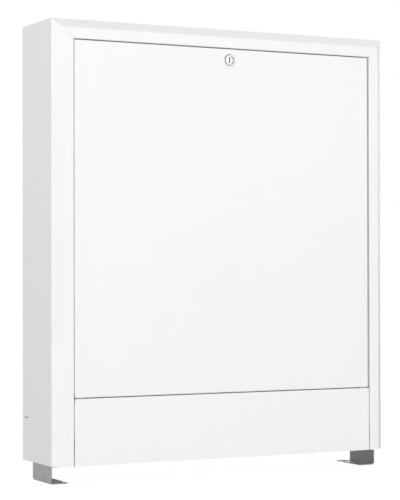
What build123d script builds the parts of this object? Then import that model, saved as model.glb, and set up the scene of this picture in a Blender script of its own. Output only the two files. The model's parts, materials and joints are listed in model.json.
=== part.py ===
from build123d import *
from math import radians, sqrt, tan
import os

# Surface-mounted cabinet for an underfloor heating manifold, with the manifold station inside it.
# Millimetres. X runs to the right, Y to the rear and Z up. The origin is on the floor, under the
# middle of the whole object, and the cabinet stands on its two feet.

os.makedirs("parts", exist_ok=True)

# ---- Driving dimensions -------------------------------------------------------------------------

BODY_WIDTH = 540.0
BODY_DEPTH = 124.0
BODY_HEIGHT = 621.0
FOOT_DROP = 26.0  # how far the feet stand out below the body
LOCK_PROUD = 2.0  # how far the lock's rosette stands out of the door

SHEET = 1.25  # body panels
DOOR_SHEET = 1.0  # door and lower panel
CHAMFER_WIDTH = 13.0
CHAMFER_DEPTH = 14.2
SIDE_RIM = 28.3  # from the body's side to the door opening
TOP_RIM = 28.5  # from the body's top to the door opening
RETURN_DEPTH = 15.0
SIDE_LIP = 8.0
TOP_LIP = 5.0
REAR_FLANGE = 15.0

LOWER_PANEL_TOP = 93.3  # above the body's lower edge
DOOR_BOTTOM = 94.5
DOOR_TOP = 591.1
DOOR_LEFT = 29.1  # from the body's left side
DOOR_RIGHT = 508.4
LOWER_PANEL_RIGHT = 510.6
DOOR_RETURN = 12.0
TONGUE_NOTCH = 18.0

LOCK_X = 2.5
LOCK_HEIGHT = 575.0  # above the body's lower edge
LOCK_RADIUS = 8.8

FOOT_THICKNESS = 1.5
FOOT_INSET = 4.0  # from the body's side to the foot's plate
FOOT_WIDTH = 67.5
FOOT_HEIGHT = 155.0
FOOT_FLANGE = 25.0
FOOT_FRONT = 26.5  # from the front face to the foot's edge
FOOT_SLOT_WIDTH = 9.0
FOOT_RELIEF = 3.5
FOOT_TRAVEL_UP = 24.0
FOOT_TRAVEL_DOWN = 64.0

CIRCUIT_PITCH = 50.0
CIRCUIT_COUNT = 3
BAR_RADIUS = 17.0
BAR_BORE = 13.5
SUPPLY_Y = 26.0
SUPPLY_Z = 496.0
RETURN_Y = -8.0
RETURN_Z = 288.0

# ---- Worked out from them -----------------------------------------------------------------------

SIDE = BODY_WIDTH / 2
FRONT = -(BODY_DEPTH - LOCK_PROUD) / 2
BACK = FRONT + BODY_DEPTH
BASE = FOOT_DROP
TOP = BASE + BODY_HEIGHT
SIDE_TOP = TOP - SHEET
RETURN_BACK = FRONT + RETURN_DEPTH
BACK_PANEL_Y = BACK - 2 * SHEET
CHAMFER_DROP = CHAMFER_WIDTH * TOP_RIM / SIDE_RIM
LOCK_Z = BASE + LOCK_HEIGHT
DOOR_WIDTH = DOOR_RIGHT - DOOR_LEFT
DOOR_MID_Z = BASE + (DOOR_BOTTOM + DOOR_TOP) / 2

CIRCUIT_X = [(i - (CIRCUIT_COUNT - 1) / 2) * CIRCUIT_PITCH + 18 for i in range(CIRCUIT_COUNT)]
BAR_END_ROOM = 46.0
BAR_LEFT = CIRCUIT_X[0] - BAR_END_ROOM
BAR_RIGHT = CIRCUIT_X[-1] + BAR_END_ROOM
BRACKET_WIDTH = 16.0
BRACKET_X = [BAR_LEFT + 17.5, BAR_RIGHT - 17.5]
BARS = {"supply": (SUPPLY_Y, SUPPLY_Z), "return": (RETURN_Y, RETURN_Z)}

KNOCKOUT_TOP = 61.0
KNOCKOUT_FRONT = 101.0
BACK_CLEARANCE = 0.8  # beside the back panel, for the bends of the side panels
HEX_CHAMFER = radians(30)


# ---- Shapes used many times ---------------------------------------------------------------------


def bent_sheet(plane, points, radii, thickness=SHEET, side=Side.LEFT):
    """Section of a folded sheet: the points run along one face, the metal is on the named side."""
    with BuildSketch(plane, mode=Mode.PRIVATE) as section:
        with BuildLine():
            FilletPolyline(*points, radius=radii)
            offset(amount=thickness, side=side)
        make_face()
    return section.sketch


def turned(origin, along, outline, mode=Mode.ADD):
    """A round piece about a line through origin: outline lists (distance along it, radius)."""
    plane = Plane(origin, x_dir=along, z_dir=(0, -1, 0) if along[1] == 0 else (0, 0, 1))
    with BuildSketch(plane, mode=Mode.PRIVATE) as section:
        with BuildLine():
            Polyline(*outline, close=True)
        make_face()
    return revolve(section.sketch, axis=Axis(origin, along), mode=mode)


def rod(origin, along, start, end, radius, bore=0.0, mode=Mode.ADD):
    """A plain cylinder or tube along a line."""
    turned(origin, along, [(start, bore), (end, bore), (end, radius), (start, radius)], mode)


def hexagon(origin, along, start, end, across_flats):
    """A hexagonal length along a line, such as a nut, with its corners turned off at both ends."""
    base = Vector(*origin) + Vector(*along) * start
    side_dir = (0, 0, 1) if along[2] == 0 else (1, 0, 0)
    flat = across_flats / 2
    corner = across_flats / sqrt(3)
    drop = (corner - flat) * tan(HEX_CHAMFER)
    with BuildSketch(Plane(base, x_dir=side_dir, z_dir=along), mode=Mode.PRIVATE) as section:
        RegularPolygon(radius=flat, side_count=6, major_radius=False)
    prism = extrude(section.sketch, amount=end - start, mode=Mode.PRIVATE)
    crown = turned(
        origin,
        along,
        [
            (start, 0),
            (start, flat),
            (start + drop, corner + 0.01),
            (end - drop, corner + 0.01),
            (end, flat),
            (end, 0),
        ],
        Mode.PRIVATE,
    )
    add(prism & crown)


def block(low, high, mode=Mode.ADD):
    """A box from its lowest to its highest corner."""
    size = [b - a for a, b in zip(low, high)]
    with Locations(tuple((a + b) / 2 for a, b in zip(low, high))):
        Box(*size, mode=mode)


def save(piece, name):
    piece.part.label = name
    export_step(piece.part, f"parts/{name}.step")


# ---- Cabinet: side panels -----------------------------------------------------------------------

side_section = [
    (-SIDE + REAR_FLANGE, BACK),
    (-SIDE, BACK),
    (-SIDE, FRONT + CHAMFER_DEPTH),
    (-SIDE + CHAMFER_WIDTH, FRONT),
    (-SIDE + SIDE_RIM, FRONT),
    (-SIDE + SIDE_RIM, RETURN_BACK),
    (-SIDE + SIDE_RIM + SIDE_LIP, RETURN_BACK),
]
MITRE_REACH = 60.0  # how far in from the corner the mitre's cut runs
MITRE_GAP = 0.35
RETURN_START = 47.5  # the side returns begin this far above the body's lower edge
REAR_RELIEF = 34.0  # no rear flange this far down from the top
mitre_slope = TOP_RIM / SIDE_RIM

with BuildPart() as left_side_panel:
    section = bent_sheet(Plane.XY.offset(BASE), side_section, [2, 1.6, 1.6, 1.8, 0.6])
    extrude(section, amount=SIDE_TOP - BASE)
    # mitred where it meets the top panel
    with BuildSketch(Plane.XZ.offset(-(RETURN_BACK + 3))):
        with BuildLine():
            Polyline(
                (-SIDE - 1, TOP + mitre_slope),
                (-SIDE + MITRE_REACH, TOP - MITRE_REACH * mitre_slope),
                (-SIDE + MITRE_REACH, TOP + 10),
                (-SIDE - 1, TOP + 10),
                close=True,
            )
        make_face()
    extrude(amount=RETURN_DEPTH + 6, mode=Mode.SUBTRACT)
    # no return beside the lower end of the lower panel
    block(
        (-SIDE + SIDE_RIM - 2.0, FRONT + 2.0, BASE - 1),
        (-SIDE + SIDE_RIM + SIDE_LIP + 1, RETURN_BACK + 3, BASE + RETURN_START),
        Mode.SUBTRACT,
    )
    # the back panel closes the top of the rear edge
    block(
        (-SIDE - 1, BACK - SHEET, TOP - 1 - REAR_RELIEF),
        (-SIDE + REAR_FLANGE + 1, BACK + 1, TOP),
        Mode.SUBTRACT,
    )
    # skirting knock-out: a slot over it and a scored line in front of it
    block(
        (-SIDE - 1, FRONT + KNOCKOUT_FRONT - 1, BASE + KNOCKOUT_TOP),
        (-SIDE + SHEET + 0.5, FRONT + KNOCKOUT_FRONT + 16, BASE + KNOCKOUT_TOP + 1.3),
        Mode.SUBTRACT,
    )
    block(
        (-SIDE - 1, FRONT + KNOCKOUT_FRONT - 0.4, BASE - 1),
        (-SIDE + 0.5, FRONT + KNOCKOUT_FRONT + 0.4, BASE + KNOCKOUT_TOP + 0.1),
        Mode.SUBTRACT,
    )
    # hole for the lower panel's thumbscrew
    with Locations(Location((-SIDE + SIDE_RIM - 0.5, FRONT + 8, BASE + 75), (0, 90, 0))):
        Cylinder(2.6, 6, mode=Mode.SUBTRACT)

with BuildPart() as right_side_panel:
    add(left_side_panel.part.mirror(Plane.YZ))

save(left_side_panel, "left_side_panel")
save(right_side_panel, "right_side_panel")

# ---- Cabinet: top panel -------------------------------------------------------------------------

TOP_REAR_FLANGE = 35.0
opening_top = TOP - TOP_RIM
top_section = [
    (BACK_PANEL_Y, TOP - TOP_REAR_FLANGE),
    (BACK_PANEL_Y, TOP),
    (FRONT + CHAMFER_DEPTH, TOP),
    (FRONT, TOP - CHAMFER_DROP),
    (FRONT, opening_top),
    (RETURN_BACK, opening_top),
    (RETURN_BACK, opening_top - TOP_LIP),
]

with BuildPart() as top_panel:
    section = bent_sheet(Plane.YZ.offset(-SIDE), top_section, [2, 1.6, 1.6, 1.8, 0.6])
    extrude(section, amount=BODY_WIDTH)
    # mitred in front, where it meets the side panels
    for hand in (-1, 1):
        with BuildSketch(Plane.XZ.offset(-(RETURN_BACK + 3))):
            with BuildLine():
                Polyline(
                    (hand * (SIDE + 1), TOP + mitre_slope + MITRE_GAP),
                    (
                        hand * (SIDE - MITRE_REACH),
                        TOP - MITRE_REACH * mitre_slope + MITRE_GAP,
                    ),
                    (hand * (SIDE - MITRE_REACH), TOP - 2 * MITRE_REACH),
                    (hand * (SIDE + 1), TOP - 2 * MITRE_REACH),
                    close=True,
                )
            make_face()
        extrude(amount=RETURN_DEPTH + 6, mode=Mode.SUBTRACT)
        # behind the mitre only the flat top reaches over the side panel
        side_low, side_high = sorted((hand * (SIDE - SHEET - BACK_CLEARANCE), hand * (SIDE + 1)))
        block(
            (side_low, FRONT + CHAMFER_DEPTH, TOP - TOP_REAR_FLANGE - 1),
            (side_high, BACK, SIDE_TOP),
            Mode.SUBTRACT,
        )

save(top_panel, "top_panel")

# ---- Cabinet: back panel ------------------------------------------------------------------------

WALL_HOLE_RADIUS = 4.5
WALL_HOLE_SPACING_X = 440.0
WALL_HOLE_SPACING_Z = 400.0
WALL_HOLE_MID_Z = 370.0
BACK_PANEL_BOTTOM = BASE + KNOCKOUT_TOP + 1
BACK_STIFFENER_DEPTH = 12.0
UPPER_RAIL_Z = SUPPLY_Z + 38
LOWER_RAIL_Z = RETURN_Z - 38
RIVET_X = [-235.0, 0.0, 235.0]

back_section = [
    (BACK_PANEL_Y + SHEET - BACK_STIFFENER_DEPTH, BACK_PANEL_BOTTOM),
    (BACK_PANEL_Y + SHEET, BACK_PANEL_BOTTOM),
    (BACK_PANEL_Y + SHEET, SIDE_TOP - 0.3),
]

with BuildPart() as back_panel:
    section = bent_sheet(Plane.YZ.offset(-(SIDE - SHEET - BACK_CLEARANCE)), back_section, [2])
    extrude(section, amount=BODY_WIDTH - 2 * (SHEET + BACK_CLEARANCE))
    # wall-fixing holes
    with Locations(Location((0, BACK_PANEL_Y, WALL_HOLE_MID_Z), (90, 0, 0))):
        with GridLocations(WALL_HOLE_SPACING_X, WALL_HOLE_SPACING_Z, 2, 2):
            Cylinder(WALL_HOLE_RADIUS, 8, mode=Mode.SUBTRACT)
    # rivet holes of the two mounting rails
    for rail_z in (UPPER_RAIL_Z, LOWER_RAIL_Z):
        for rivet_x in RIVET_X:
            rod((rivet_x, BACK_PANEL_Y, rail_z), (0, 1, 0), -3, 5, 2.4, mode=Mode.SUBTRACT)

save(back_panel, "back_panel")

# ---- Cabinet: mounting rails and their rivets ---------------------------------------------------

RAIL_HEIGHT = 28.0
RAIL_DEPTH = 12.0
RAIL_SHEET = 1.5
RAIL_SLOT = 12.0
RAIL_HALF_LENGTH = 250.0
rail_front = BACK_PANEL_Y - RAIL_DEPTH

for rail_name, rail_z in (("upper", UPPER_RAIL_Z), ("lower", LOWER_RAIL_Z)):
    half = RAIL_HEIGHT / 2
    with BuildPart() as mounting_rail:
        section = bent_sheet(
            Plane.YZ.offset(-RAIL_HALF_LENGTH),
            [
                (rail_front, rail_z + RAIL_SLOT / 2),
                (rail_front, rail_z + half),
                (BACK_PANEL_Y, rail_z + half),
                (BACK_PANEL_Y, rail_z - half),
                (rail_front, rail_z - half),
                (rail_front, rail_z - RAIL_SLOT / 2),
            ],
            [2, 2, 2, 2],
            RAIL_SHEET,
            Side.RIGHT,
        )
        extrude(section, amount=2 * RAIL_HALF_LENGTH)
        for rivet_x in RIVET_X:
            rod((rivet_x, BACK_PANEL_Y, rail_z), (0, 1, 0), -4, 2, 2.4, mode=Mode.SUBTRACT)
    save(mounting_rail, f"{rail_name}_mounting_rail")

with BuildPart() as rail_rivets:
    for rail_z in (UPPER_RAIL_Z, LOWER_RAIL_Z):
        for rivet_x in RIVET_X:
            turned(
                (rivet_x, BACK_PANEL_Y, rail_z),
                (0, 1, 0),
                [
                    (-RAIL_SHEET - 1.4, 0),
                    (-RAIL_SHEET - 1.2, 3.0),
                    (-RAIL_SHEET, 4.6),
                    (-RAIL_SHEET, 2.4),
                    (SHEET, 2.4),
                    (SHEET, 4.4),
                    (SHEET + 0.7, 3.4),
                    (SHEET + 0.9, 0),
                ],
            )

save(rail_rivets, "rail_rivets")

# ---- Cabinet: front cross rail ------------------------------------------------------------------

CROSS_RAIL_Y = FRONT + 18.0
CROSS_RAIL_DROP = 1.8  # its lower edge is this far below the body's
CROSS_RAIL_HEIGHT = 46.0
CROSS_RAIL_SHELF = 26.0

with BuildPart() as front_cross_rail:
    section = bent_sheet(
        Plane.YZ.offset(-(SIDE - SHEET - 0.1)),
        [
            (CROSS_RAIL_Y, BASE - CROSS_RAIL_DROP),
            (CROSS_RAIL_Y, BASE + CROSS_RAIL_HEIGHT),
            (CROSS_RAIL_Y + CROSS_RAIL_SHELF, BASE + CROSS_RAIL_HEIGHT),
            (CROSS_RAIL_Y + CROSS_RAIL_SHELF, BASE + CROSS_RAIL_HEIGHT - 10),
        ],
        [5, 5],
        RAIL_SHEET,
        Side.RIGHT,
    )
    extrude(section, amount=BODY_WIDTH - 2 * (SHEET + 0.1))
    # the shelf stops clear of the foot guides, and the front runs through to the sides
    for hand in (-1, 1):
        side_low, side_high = sorted((hand * (SIDE - 24), hand * (SIDE + 1)))
        block(
            (side_low, CROSS_RAIL_Y + RAIL_SHEET, BASE - 5),
            (side_high, CROSS_RAIL_Y + 40, BASE + CROSS_RAIL_HEIGHT + 1),
            Mode.SUBTRACT,
        )

save(front_cross_rail, "front_cross_rail")

# ---- Feet and their guides ----------------------------------------------------------------------

GUIDE_SHEET = 1.5
GUIDE_HEIGHT = 100.0
GUIDE_WALL = 9.0
GUIDE_ROOM = 1.5  # between a guide's walls and the foot's edges
STUD_RADIUS = 3.0
STUD_Z = BASE + 54.0
foot_front_y = FRONT + FOOT_FRONT
foot_back_y = foot_front_y + FOOT_WIDTH
foot_mid_y = (foot_front_y + foot_back_y) / 2
foot_plate_x = -SIDE + FOOT_INSET
guide_low_y = foot_front_y - GUIDE_ROOM - GUIDE_SHEET
guide_high_y = foot_back_y + GUIDE_ROOM + GUIDE_SHEET

with BuildPart() as left_foot_guide:
    guide_x = -SIDE + SHEET
    section = bent_sheet(
        Plane.XY.offset(BASE),
        [
            (guide_x + GUIDE_WALL, guide_low_y),
            (guide_x, guide_low_y),
            (guide_x, guide_high_y),
            (guide_x + GUIDE_WALL, guide_high_y),
        ],
        [2, 2],
        GUIDE_SHEET,
        Side.RIGHT,
    )
    extrude(section, amount=GUIDE_HEIGHT)

with BuildPart() as right_foot_guide:
    add(left_foot_guide.part.mirror(Plane.YZ))

save(left_foot_guide, "left_foot_guide")
save(right_foot_guide, "right_foot_guide")

slot_bottom = STUD_Z - FOOT_TRAVEL_UP
slot_top = STUD_Z + FOOT_TRAVEL_DOWN
FLOOR_SLOT_MID = 12.5  # from the foot's front edge to the middle of its floor-screw slot

with BuildPart() as left_foot:
    section = bent_sheet(
        Plane.XZ.offset(-foot_back_y),
        [
            (foot_plate_x, FOOT_HEIGHT),
            (foot_plate_x, 0),
            (foot_plate_x + FOOT_FLANGE, 0),
        ],
        [2],
        FOOT_THICKNESS,
    )
    extrude(section, amount=FOOT_WIDTH)
    # adjusting slot for the clamp stud
    with BuildSketch(Plane.YZ.offset(foot_plate_x - 2)):
        with Locations((foot_mid_y, (slot_bottom + slot_top) / 2)):
            SlotCenterToCenter(slot_top - slot_bottom, 2 * STUD_RADIUS + 1.2, rotation=90)
    extrude(amount=6, mode=Mode.SUBTRACT)
    # floor-screw slot, open at the flange's inner edge
    with BuildSketch(Plane.XY.offset(-1)):
        with Locations((foot_plate_x + FOOT_FLANGE, foot_front_y + FLOOR_SLOT_MID)):
            SlotCenterToCenter(2 * 14.0, FOOT_SLOT_WIDTH)
    extrude(amount=4, mode=Mode.SUBTRACT)
    # relieved corner at the rear end of the bend
    with BuildSketch(Plane.YZ.offset(foot_plate_x - 1)):
        with BuildLine():
            Polyline(
                (foot_back_y + 1, -1),
                (foot_back_y - FOOT_RELIEF - 1, -1),
                (foot_back_y + 1, FOOT_RELIEF + 1),
                close=True,
            )
        make_face()
    extrude(amount=FOOT_RELIEF + 1, mode=Mode.SUBTRACT)
    # rounded upper corners
    plate_corners = left_foot.edges().filter_by(Axis.X).group_by(Axis.Z)[-1]
    fillet(plate_corners, 6)

with BuildPart() as right_foot:
    add(left_foot.part.rotate(Axis((0, foot_mid_y, 0), (0, 0, 1)), 180))

save(left_foot, "left_foot")
save(right_foot, "right_foot")

stud_start = SIDE - SHEET - GUIDE_SHEET
stud_end = SIDE - 17.0

with BuildPart() as foot_clamp_studs:
    for hand in (-1, 1):
        turned(
            (hand * stud_start, foot_mid_y, STUD_Z),
            (-hand, 0, 0),
            [
                (0, 0),
                (stud_start - stud_end, 0),
                (stud_start - stud_end, STUD_RADIUS - 0.6),
                (stud_start - stud_end - 0.8, STUD_RADIUS),
                (0, STUD_RADIUS),
            ],
        )

with BuildPart() as foot_wing_nuts:
    for hand in (-1, 1):
        nut_x = hand * (SIDE - FOOT_INSET - FOOT_THICKNESS - 0.3)
        turned(
            (nut_x, foot_mid_y, STUD_Z),
            (-hand, 0, 0),
            [(0, STUD_RADIUS), (7.5, STUD_RADIUS), (7.5, 4.5), (1.5, 5.6), (1.5, 7), (0, 7)],
        )
        for wing in (-1, 1):
            wing_low, wing_high = sorted((nut_x - hand * 4.2, nut_x - hand * 5.8))
            with BuildSketch(Plane.YZ.offset(wing_low)):
                with BuildLine():
                    Polyline(
                        (foot_mid_y + wing * 4.2, STUD_Z - 3),
                        (foot_mid_y + wing * 13, STUD_Z - 1),
                        (foot_mid_y + wing * 14.5, STUD_Z + 5),
                        (foot_mid_y + wing * 11.5, STUD_Z + 8),
                        (foot_mid_y + wing * 4.2, STUD_Z + 3),
                        close=True,
                    )
                make_face()
            extrude(amount=wing_high - wing_low)

save(foot_clamp_studs, "foot_clamp_studs")
save(foot_wing_nuts, "foot_wing_nuts")

# ---- Lower front panel --------------------------------------------------------------------------

LOWER_RETURN = 13.0
LOWER_RETURN_START = 36.0
lower_left = DOOR_LEFT - SIDE
lower_right = LOWER_PANEL_RIGHT - SIDE
lower_top = BASE + LOWER_PANEL_TOP


def folded_tray(left, right, bottom, top, depth, sheet):
    """A shallow tray, open to the rear, with its front edges bent round."""
    bend = 1.6
    for inset, mode in ((0.0, Mode.ADD), (sheet, Mode.SUBTRACT)):
        with BuildSketch(Plane.XZ.offset(-(FRONT + depth)), mode=Mode.PRIVATE) as face:
            with Locations(((left + right) / 2, (bottom + top) / 2)):
                Rectangle(right - left - 2 * inset, top - bottom - 2 * inset)
        tray = extrude(face.sketch, amount=depth - inset, mode=Mode.PRIVATE)
        front_edges = tray.faces().sort_by(Axis.Y)[0].edges()
        add(tray.fillet(bend - inset, front_edges), mode=mode)


with BuildPart() as lower_front_panel:
    folded_tray(lower_left, lower_right, BASE - 5, lower_top, LOWER_RETURN, DOOR_SHEET)
    # plain lower edge, and side returns that begin above it
    block((lower_left - 1, FRONT - 1, BASE - 6), (lower_right + 1, 0, BASE), Mode.SUBTRACT)
    block(
        (lower_left - 1, FRONT + DOOR_SHEET, BASE - 1),
        (lower_right + 1, 0, BASE + LOWER_RETURN_START),
        Mode.SUBTRACT,
    )
    # notches in the top return for the door's tongues
    for notch_x in (lower_left, lower_right - TONGUE_NOTCH):
        block(
            (notch_x - 1, FRONT + DOOR_SHEET, lower_top - 6),
            (notch_x + TONGUE_NOTCH + 1, 0, lower_top + 1),
            Mode.SUBTRACT,
        )
    with Locations(Location((0, FRONT + 8, BASE + 75), (0, 90, 0))):
        Cylinder(2.6, BODY_WIDTH, mode=Mode.SUBTRACT)

save(lower_front_panel, "lower_front_panel")

with BuildPart() as lower_panel_screws:
    for hand, screw_x in ((1, -SIDE + SIDE_RIM - 4), (-1, SIDE - SIDE_RIM + 4)):
        panel_side = lower_left if hand > 0 else lower_right
        seat = abs(panel_side + hand * DOOR_SHEET - screw_x)
        turned(
            (screw_x, FRONT + 8, BASE + 75),
            (hand, 0, 0),
            [(0, 0), (0, 2.5), (seat, 2.5), (seat, 5), (seat + 6, 5), (seat + 7, 4), (seat + 7, 0)],
        )

save(lower_panel_screws, "lower_panel_screws")

# ---- Door ---------------------------------------------------------------------------------------

door_left = DOOR_LEFT - SIDE
door_right = DOOR_RIGHT - SIDE
door_low = BASE + DOOR_BOTTOM
door_high = BASE + DOOR_TOP
LOCK_BODY_RADIUS = 7.9

with BuildPart() as door_panel:
    folded_tray(door_left, door_right, door_low, door_high, DOOR_RETURN, DOOR_SHEET)
    for notch_x in (door_left, door_right - TONGUE_NOTCH):
        block(
            (notch_x - 1, FRONT + DOOR_SHEET, door_low - 1),
            (notch_x + TONGUE_NOTCH + 1, 0, door_low + 6),
            Mode.SUBTRACT,
        )
    rod((LOCK_X, FRONT, LOCK_Z), (0, 1, 0), -1, 3, LOCK_BODY_RADIUS + 0.1, mode=Mode.SUBTRACT)

save(door_panel, "door_panel")

TONGUE_WIDTH = 12.0
TONGUE_SHEET = 1.2

with BuildPart() as door_tongues:
    for tongue_x in (door_left + 3, door_right - 3 - TONGUE_WIDTH):
        section = bent_sheet(
            Plane.YZ.offset(tongue_x),
            [
                (FRONT + DOOR_SHEET, door_low + 26),
                (FRONT + DOOR_SHEET, door_low + 4),
                (FRONT + DOOR_SHEET + 0.8, door_low),
                (FRONT + DOOR_SHEET + 0.8, door_low - 13),
            ],
            [1.5, 1.5],
            TONGUE_SHEET,
        )
        extrude(section, amount=TONGUE_WIDTH)

save(door_tongues, "door_tongues")

STIFFENER_DEPTH = 8.0
STIFFENER_HALF = 26.0

with BuildPart() as door_stiffener:
    inner = FRONT + DOOR_SHEET
    section = bent_sheet(
        Plane.YZ.offset(door_left + 20),
        [
            (inner + DOOR_SHEET, DOOR_MID_Z + STIFFENER_HALF),
            (inner + DOOR_SHEET, DOOR_MID_Z + 14),
            (inner + STIFFENER_DEPTH, DOOR_MID_Z + 10),
            (inner + STIFFENER_DEPTH, DOOR_MID_Z - 10),
            (inner + DOOR_SHEET, DOOR_MID_Z - 14),
            (inner + DOOR_SHEET, DOOR_MID_Z - STIFFENER_HALF),
        ],
        [1.2, 1.2, 1.2, 1.2],
        DOOR_SHEET,
        Side.RIGHT,
    )
    extrude(section, amount=DOOR_WIDTH - 40)

save(door_stiffener, "door_stiffener")

BUFFER_SIZE = (6.0, 1.9, 14.0)

with BuildPart() as door_buffers:
    for buffer_z in (BASE + 130, BASE + 545):
        for hand in (-1, 1):
            buffer_x = hand * (SIDE - SIDE_RIM - 4.2)
            with Locations((buffer_x, RETURN_BACK - BUFFER_SIZE[1] / 2 - 0.05, buffer_z)):
                Box(*BUFFER_SIZE)

save(door_buffers, "door_buffers")

# ---- Lock ---------------------------------------------------------------------------------------

LOCK_LENGTH = 13.0  # from the door's face to the rear of the housing
BARREL_RADIUS = 5.6
BARREL_RECESS = 1.8  # from the rosette's face to the barrel's
CAM_THICKNESS = 2.0
CAM_WIDTH = 13.0
CAM_REACH = 26.0
NUT_START = DOOR_SHEET
NUT_END = 6.0
cam_front_y = FRONT + RETURN_DEPTH + SHEET + 0.9

with BuildPart() as lock_housing:
    turned(
        (LOCK_X, FRONT, LOCK_Z),
        (0, 1, 0),
        [
            (-LOCK_PROUD + 0.5, BARREL_RADIUS + 0.08),
            (-LOCK_PROUD, BARREL_RADIUS + 0.6),
            (-LOCK_PROUD, LOCK_RADIUS - 1.2),
            (-LOCK_PROUD + 0.35, LOCK_RADIUS - 0.4),
            (-0.6, LOCK_RADIUS),
            (0, LOCK_RADIUS),
            (0, LOCK_BODY_RADIUS),
            (LOCK_LENGTH, LOCK_BODY_RADIUS),
            (LOCK_LENGTH, BARREL_RADIUS + 0.08),
        ],
    )

with BuildPart() as lock_nut:
    hexagon((LOCK_X, FRONT, LOCK_Z), (0, 1, 0), NUT_START, NUT_END, 21)
    rod((LOCK_X, FRONT, LOCK_Z), (0, 1, 0), 0, 8, LOCK_BODY_RADIUS, mode=Mode.SUBTRACT)

KEY_SLOT_WIDTH = 2.2
KEY_SLOT_HEIGHT = 8.0
barrel_end = cam_front_y - FRONT

with BuildPart() as lock_barrel:
    rod(
        (LOCK_X, FRONT, LOCK_Z),
        (0, 1, 0),
        BARREL_RECESS - LOCK_PROUD,
        LOCK_LENGTH + 1.5,
        BARREL_RADIUS,
    )
    # square shank that carries the cam
    block(
        (LOCK_X - 3, FRONT + LOCK_LENGTH + 1, LOCK_Z - 3),
        (LOCK_X + 3, cam_front_y + CAM_THICKNESS, LOCK_Z + 3),
    )
    # key slot
    block(
        (LOCK_X - KEY_SLOT_WIDTH / 2, FRONT - LOCK_PROUD - 1, LOCK_Z - KEY_SLOT_HEIGHT / 2),
        (LOCK_X + KEY_SLOT_WIDTH / 2, FRONT + 6, LOCK_Z + KEY_SLOT_HEIGHT / 2),
        Mode.SUBTRACT,
    )
    rod((LOCK_X, cam_front_y, LOCK_Z), (0, 1, 0), -6, 4, 1.6, mode=Mode.SUBTRACT)

with BuildPart() as lock_cam:
    with BuildSketch(Plane.XZ.offset(-(cam_front_y + CAM_THICKNESS))):
        with Locations((LOCK_X - (CAM_REACH - CAM_WIDTH / 2) / 2, LOCK_Z)):
            SlotCenterToCenter(CAM_REACH - CAM_WIDTH / 2, CAM_WIDTH)
        with Locations((LOCK_X, LOCK_Z)):
            Rectangle(6, 6, mode=Mode.SUBTRACT)
    extrude(amount=CAM_THICKNESS)

with BuildPart() as cam_screw:
    turned(
        (LOCK_X, cam_front_y + CAM_THICKNESS, LOCK_Z),
        (0, 1, 0),
        [(-6, 0), (-6, 1.6), (0, 1.6), (0, 5.2), (0.9, 5.2), (2.2, 3.4), (2.4, 0)],
    )

save(lock_housing, "lock_housing")
save(lock_nut, "lock_nut")
save(lock_barrel, "lock_barrel")
save(lock_cam, "lock_cam")
save(cam_screw, "cam_screw")

# ---- Manifold: bars, outlets and ports ----------------------------------------------------------

PORT_RADIUS = 14.0
PORT_TOP = 23.0
PORT_BOTTOM = -25.0
PORT_THREAD = 10.5
OUTLET_RADIUS = 13.2
COLLAR_RADIUS = 19.3

for bar_name, (bar_y, bar_z) in BARS.items():
    bar_axis = (0, bar_y, bar_z)
    with BuildPart() as bar:
        rod(bar_axis, (1, 0, 0), BAR_LEFT, BAR_RIGHT, BAR_RADIUS)
        rod(bar_axis, (1, 0, 0), BAR_LEFT, BAR_LEFT + 5, COLLAR_RADIUS)
        for port_x in CIRCUIT_X:
            rod((port_x, bar_y, bar_z), (0, 0, 1), PORT_BOTTOM, PORT_TOP, PORT_RADIUS)
        # waterway
        rod(bar_axis, (1, 0, 0), BAR_LEFT - 1, BAR_RIGHT + 1, BAR_BORE, mode=Mode.SUBTRACT)
        for port_x in CIRCUIT_X:
            rod(
                (port_x, bar_y, bar_z),
                (0, 0, 1),
                PORT_BOTTOM - 1,
                PORT_TOP + 1,
                PORT_THREAD,
                mode=Mode.SUBTRACT,
            )
    save(bar, f"{bar_name}_bar")

    with BuildPart() as outlets:
        for port_x in CIRCUIT_X:
            origin = (port_x, bar_y, bar_z)
            hexagon(origin, (0, 0, -1), -PORT_BOTTOM, -PORT_BOTTOM + 6, 27)
            turned(
                origin,
                (0, 0, -1),
                [
                    (-PORT_BOTTOM - 9, 7),
                    (-PORT_BOTTOM - 9, PORT_THREAD),
                    (-PORT_BOTTOM, PORT_THREAD),
                    (-PORT_BOTTOM, 12),
                    (-PORT_BOTTOM + 6, 12),
                    (-PORT_BOTTOM + 6, OUTLET_RADIUS),
                    (-PORT_BOTTOM + 18, OUTLET_RADIUS),
                    (-PORT_BOTTOM + 19, OUTLET_RADIUS - 1),
                    (-PORT_BOTTOM + 19, 9.5),
                    (-PORT_BOTTOM + 13, 7),
                ],
            )
            rod(
                origin,
                (0, 0, -1),
                -PORT_BOTTOM - 10,
                -PORT_BOTTOM + 15,
                7,
                mode=Mode.SUBTRACT,
            )
    save(outlets, f"{bar_name}_outlets")

# ---- Manifold: flow meters on the supply bar ----------------------------------------------------

METER_SEAT = PORT_TOP + 8

with BuildPart() as flow_meter_bases:
    for port_x in CIRCUIT_X:
        origin = (port_x, SUPPLY_Y, SUPPLY_Z)
        hexagon(origin, (0, 0, 1), PORT_TOP, METER_SEAT, 26)
        rod(origin, (0, 0, 1), PORT_TOP - 9, PORT_TOP + 1, PORT_THREAD)
        rod(origin, (0, 0, 1), METER_SEAT - 1, METER_SEAT + 7, 9.5)
        rod(origin, (0, 0, 1), PORT_TOP - 10, METER_SEAT + 8, 5, mode=Mode.SUBTRACT)

save(flow_meter_bases, "flow_meter_bases")

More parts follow.
